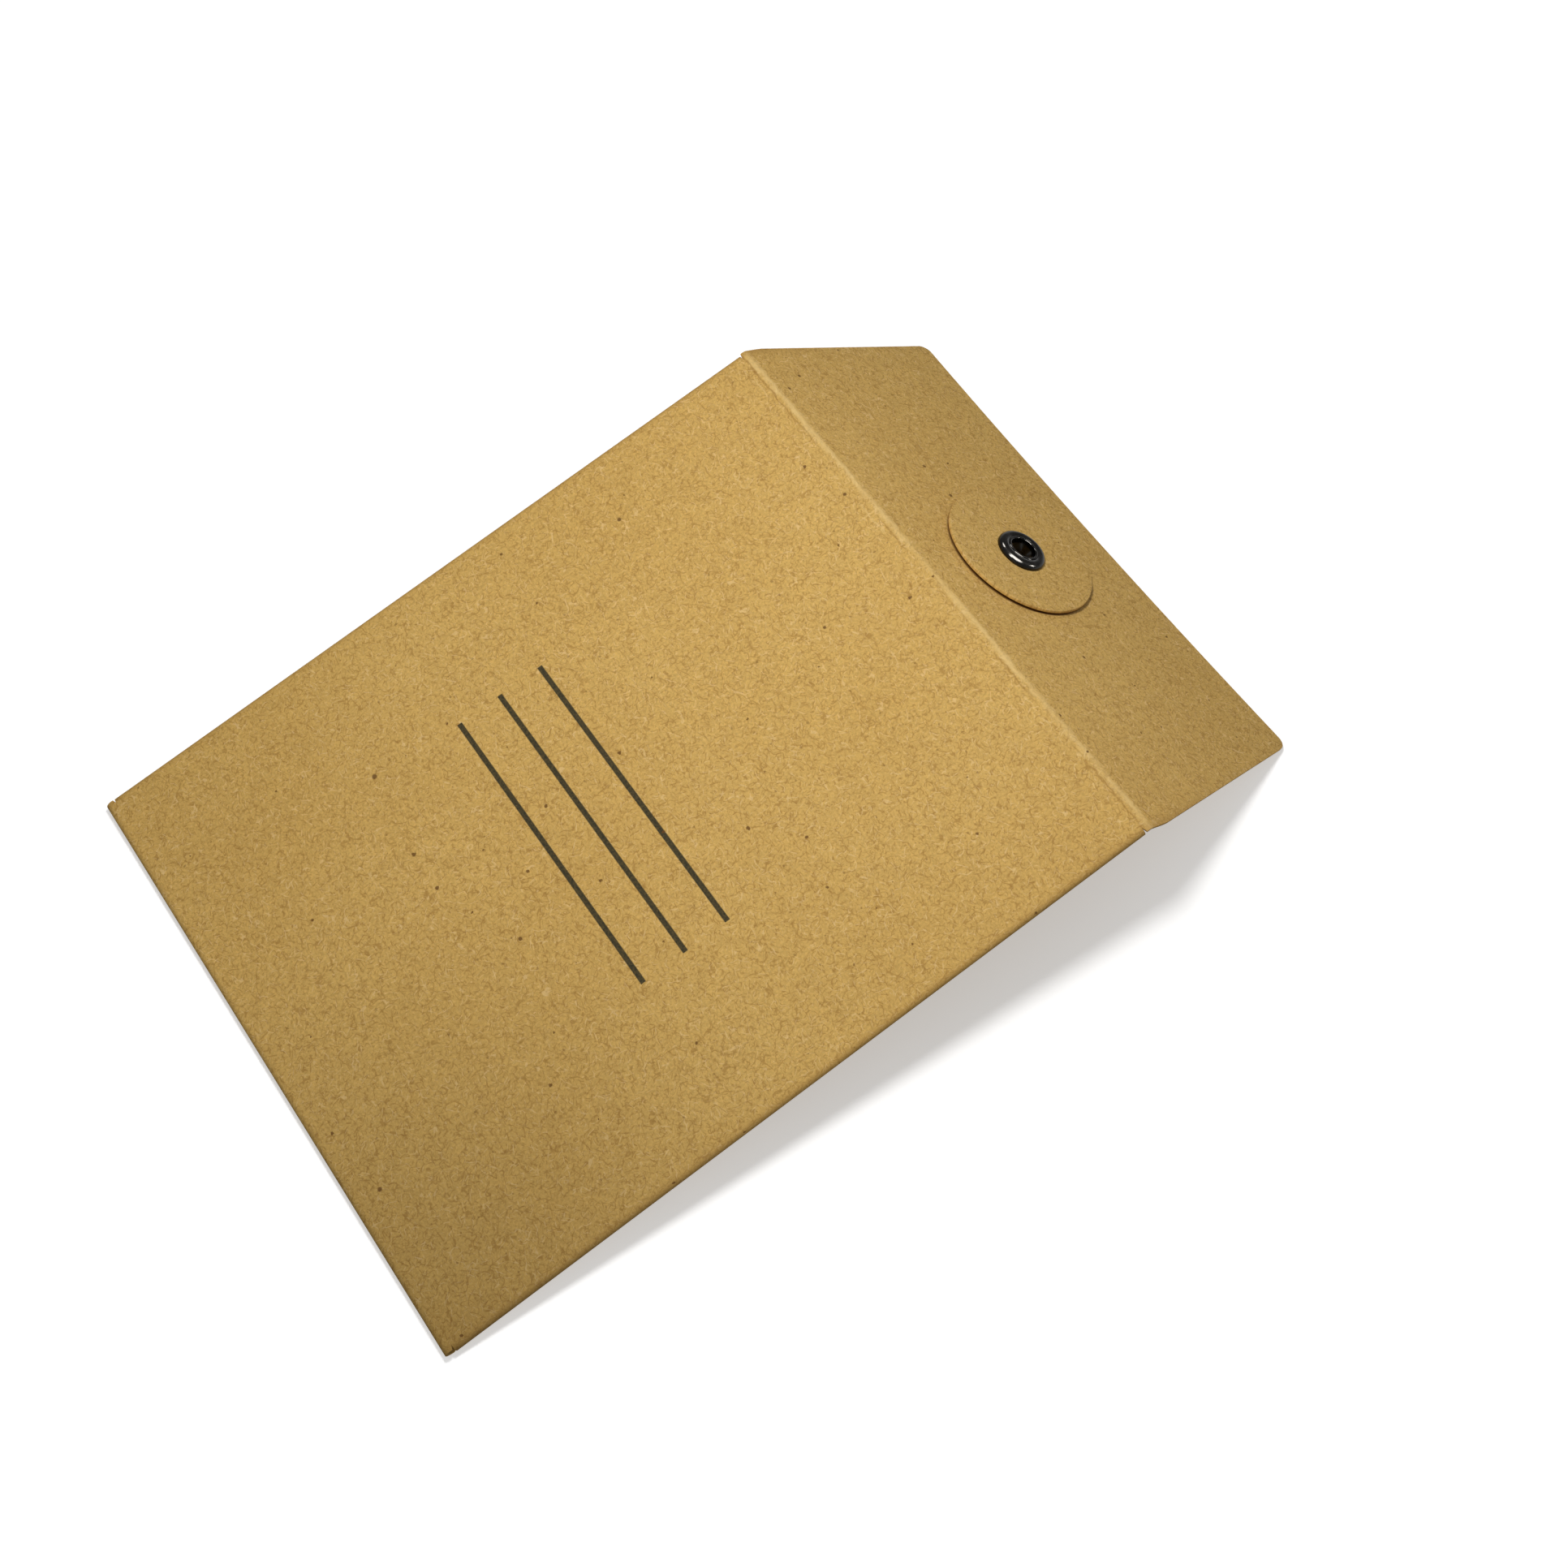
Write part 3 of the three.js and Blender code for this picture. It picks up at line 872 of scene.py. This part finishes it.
def eyeletProfile(grip):
    groove = eyelet["hole"] + eyelet["lipWidth"]
    grooveTop = eyelet["height"] - eyelet["groove"]
    domeEnd = math.pi - math.asin(grooveTop / eyelet["height"])
    domeHalf = (eyelet["flange"] - groove) / (1 - math.cos(domeEnd))
    dome = (eyelet["flange"] - domeHalf, 0)
    clinchHalf = (eyelet["clinch"] - eyelet["hole"]) / 2
    clinch = (eyelet["hole"] + clinchHalf, -grip)
    barrel = eyelet["hole"] + eyelet["wall"]
    lip = (eyelet["hole"] + eyelet["lipWidth"] / 2, grooveTop)
    wall = eyelet["wall"]
    height = eyelet["height"]
    lipHalf = eyelet["lipWidth"] / 2
    clinchHeight = eyelet["clinchHeight"]
    innerSteps = eyelet["innerClinchSteps"]
    points = arcPoints(dome, domeHalf, height, 0, domeEnd, eyelet["domeSteps"])
    points += arcPoints(lip, lipHalf, eyelet["lipHeight"], 0, math.pi, eyelet["lipSteps"])[1:]
    points += arcPoints(clinch, clinchHalf, clinchHeight, math.pi, 2 * math.pi, eyelet["clinchSteps"])
    points += arcPoints(clinch, clinchHalf - wall, clinchHeight - wall, 2 * math.pi, math.pi, innerSteps)
    points.append((barrel, 0))
    points += arcPoints(dome, domeHalf - wall, height - wall, math.pi, 0, eyelet["innerDomeSteps"])
    return points


def makeEyelet(name, grip):
    points = eyeletProfile(grip)
    clearSelection()
    bpy.ops.mesh.primitive_plane_add(size=0.1 * mm)
    ring = takeNew(name)
    startEdit(ring)
    bpy.ops.mesh.select_all(action="SELECT")
    bpy.ops.mesh.merge(type="CENTER")
    bpy.ops.transform.translate(value=(points[0][0] * mm, 0, points[0][1] * mm))
    for before, after in zip(points, points[1:]):
        step = ((after[0] - before[0]) * mm, 0, (after[1] - before[1]) * mm)
        bpy.ops.mesh.extrude_region_move(TRANSFORM_OT_translate={"value": step})
    first, last = points[0], points[-1]
    pickVerts(ring, lambda co: any(near(co.x, x, 1e-4) and near(co.z, z, 1e-4) for x, z in (first, last)))
    bpy.ops.mesh.edge_face_add()
    bpy.ops.mesh.select_all(action="SELECT")
    bpy.ops.mesh.spin(steps=eyelet["facets"], angle=2 * math.pi, center=(0, 0, 0), axis=(0, 0, 1))
    bpy.ops.mesh.select_all(action="SELECT")
    bpy.ops.mesh.remove_doubles(threshold=0.0005 * mm)
    bpy.ops.mesh.normals_make_consistent(inside=False)
    bpy.ops.object.mode_set(mode="OBJECT")
    return ring


backFromCrease = card["flapDepth"] + button["windingGap"] + button["radius"]
backPlace = Matrix.Translation((0, (card["height"] - backFromCrease) * mm, -pocketThickness * mm))
seats = {
    "flap": flapMatrix @ Matrix.Translation((0, button["flapFromCrease"] * mm, 0)),
    "back": pocketMatrix @ backPlace @ Matrix.Rotation(math.pi, 4, "X"),
}


def cutHole(obj, matrix):
    clearSelection()
    bpy.ops.mesh.primitive_cylinder_add(
        vertices=button["holeFacets"], radius=button["hole"] * mm, depth=3 * card["thickness"] * mm
    )
    cutter = takeNew("holeCutter")
    place(cutter, matrix)
    applyModifier(obj, "BOOLEAN", object=cutter, operation="DIFFERENCE", solver="EXACT")
    bpy.data.objects.remove(cutter, do_unlink=True)


sheetCard = makeKraft("kraftSheet", True)
discCard = makeKraft("kraftDisc", False)
blackNickel = makeBlackNickel()
print("materials made")

sheet = makeSheet()
print("sheet folded:", len(sheet.data.polygons), "faces")
backToPocket = pocketMatrix.inverted()
for seat in seats.values():
    cutHole(sheet, backToPocket @ seat)
paintUv(sheet, sheetPlace)
finishPiece(sheet, pocketMatrix, sheetCard, "kraft_card", "envelope_sheet")

flangeSeat = 2 * button["seat"] + button["thickness"]
gripDepth = flangeSeat + card["thickness"] + button["seat"]
for where, seat in seats.items():
    disc = makeDisc(where + "Disc")
    paintUv(disc, lambda co, face: discPlace(co, where))
    finishPiece(disc, seat, discCard, "button_card", where + "_button")
    ring = makeEyelet(where + "Eyelet", gripDepth)
    seated = seat @ Matrix.Translation((0, 0, flangeSeat * mm))
    finishPiece(ring, seated, blackNickel, "black_nickel", where + "_eyelet", smooth=50)
    print(where, "button and eyelet made")


# The studio
studio = {
    "floorSize": 8,
    "floorColour": (0.85, 0.85, 0.85, 1),
    "floorWhite": 1.08,
    "underTent": ((0, 14), (36, 54)),
    "tentSoft": 7,
    "ambient": 0.3,
    "keyAt": (-0.012, 0.0105, 0.21),
    "keyFrom": 0.22,
    "keyRadius": 0.02,
    "keyLevel": 0.56,
    "sheenAt": (0, 0.0593, 0.0118),
    "sheenAway": 0.2,
    "sheenRadiance": 24,
    "sheens": (
        ((0.165, 0.155, 0.987), 0.15),
        ((-0.734, 0.188, 0.664), 0.06),
        ((0.643, 0.69, 0.356), 0.05),
    ),
    "sensorWidth": 36,
    "lens": 43.065,
    "clipStart": 0.01,
    "cameraAt": (0.101604, -0.060204, 0.265911),
    "cameraTurn": (23.9209, -0.3761, 54.5593),
}


def makeFloor():
    clearSelection()
    bpy.ops.mesh.primitive_plane_add(size=studio["floorSize"])
    floor = takeNew("floor")
    material = bpy.data.materials.new("paleFloor")
    material.use_nodes = True
    tree = material.node_tree
    tree.nodes.clear()
    matt = addNode(tree, "ShaderNodeBsdfDiffuse", {"Color": studio["floorColour"]})
    glow = addNode(tree, "ShaderNodeEmission", {"Color": (1, 1, 1, 1)})
    where = addNode(tree, "ShaderNodeTexCoord").outputs["Object"]
    inMm = vectorCalc(tree, "MULTIPLY", where, (1000, 1000, 1000))
    parts = addNode(tree, "ShaderNodeSeparateXYZ", {"Vector": inMm}).outputs
    covered = boxMask(tree, parts["X"], parts["Y"], *studio["underTent"], studio["tentSoft"])
    rays = addNode(tree, "ShaderNodeLightPath").outputs
    seen = calc(tree, "MAXIMUM", rays["Is Camera Ray"], rays["Is Transmission Ray"])
    across = calc(tree, "SUBTRACT", parts["X"], studio["keyAt"][0] / mm)
    along = calc(tree, "SUBTRACT", parts["Y"], studio["keyAt"][1] / mm)
    away = calc(tree, "MULTIPLY_ADD", along, along, calc(tree, "MULTIPLY", across, across))
    high = (studio["keyAt"][2] / mm) ** 2
    fall = calc(tree, "POWER", calc(tree, "DIVIDE", high, calc(tree, "ADD", away, high)), 1.5)
    keyHere = studio["keyLevel"] * (studio["keyFrom"] / studio["keyAt"][2]) ** 2
    lit = calc(tree, "MULTIPLY_ADD", fall, keyHere, studio["ambient"])
    short = calc(tree, "MULTIPLY_ADD", lit, -studio["floorColour"][0], studio["floorWhite"])
    uncovered = calc(tree, "SUBTRACT", 1.0, covered)
    lift = calc(tree, "MULTIPLY", short, calc(tree, "MULTIPLY", seen, uncovered))
    tree.links.new(lift, glow.inputs["Strength"])
    both = addNode(tree, "ShaderNodeAddShader", {0: matt.outputs[0], 1: glow.outputs[0]})
    behind = addNode(tree, "ShaderNodeNewGeometry").outputs["Backfacing"]
    lighting = calc(tree, "MAXIMUM", rays["Is Diffuse Ray"], rays["Is Shadow Ray"])
    behind = calc(tree, "MAXIMUM", behind, lighting)
    clear = addNode(tree, "ShaderNodeBsdfTransparent")
    oneSided = addNode(tree, "ShaderNodeMixShader", {0: behind, 1: both.outputs[0], 2: clear.outputs[0]})
    addNode(tree, "ShaderNodeOutputMaterial", {"Surface": oneSided.outputs[0]})
    floor.data.materials.append(material)


def makeWorld():
    world = bpy.data.worlds.new("studioWorld")
    bpy.context.scene.world = world
    world.use_nodes = True
    tree = world.node_tree
    background = tree.nodes["Background"]
    background.inputs["Color"].default_value = (1, 1, 1, 1)
    rays = addNode(tree, "ShaderNodeLightPath").outputs
    seen = calc(tree, "MAXIMUM", rays["Is Camera Ray"], rays["Is Transmission Ray"])
    tree.links.new(ramp(tree, seen, 0, 1, studio["ambient"], 1.0), background.inputs["Strength"])


def makeKey():
    # the level is the brightness that a white matt face turned to the lamp would show
    lamp = bpy.data.lights.new("key", "POINT")
    lamp.shadow_soft_size = studio["keyRadius"]
    lamp.energy = 4 * math.pi**2 * studio["keyLevel"] * studio["keyFrom"] ** 2
    holder = bpy.data.objects.new("key", lamp)
    bpy.context.collection.objects.link(holder)
    holder.location = studio["keyAt"]
    holder.visible_camera = False


def makeSheens():
    # soft boxes that only the polished metal shows
    for direction, size in studio["sheens"]:
        lamp = bpy.data.lights.new("sheen", "AREA")
        lamp.shape = "DISK"
        lamp.size = size
        lamp.energy = studio["sheenRadiance"] * math.pi * math.pi * (size / 2) ** 2
        holder = bpy.data.objects.new("sheen", lamp)
        bpy.context.collection.objects.link(holder)
        way = Vector(direction).normalized()
        holder.location = Vector(studio["sheenAt"]) + way * studio["sheenAway"]
        holder.rotation_euler = way.to_track_quat("Z", "Y").to_euler()
        holder.visible_camera = False
        holder.visible_diffuse = False


def makeCamera():
    lens = bpy.data.cameras.new("camera")
    lens.sensor_fit = "HORIZONTAL"
    lens.sensor_width = studio["sensorWidth"]
    lens.lens = studio["lens"]
    lens.clip_start = studio["clipStart"]
    holder = bpy.data.objects.new("camera", lens)
    bpy.context.collection.objects.link(holder)
    holder.location = studio["cameraAt"]
    holder.rotation_euler = [math.radians(angle) for angle in studio["cameraTurn"]]
    bpy.context.scene.camera = holder


makeCamera()
makeFloor()
makeWorld()
makeKey()
makeSheens()
bpy.context.scene.view_settings.view_transform = "Standard"
print("studio set")
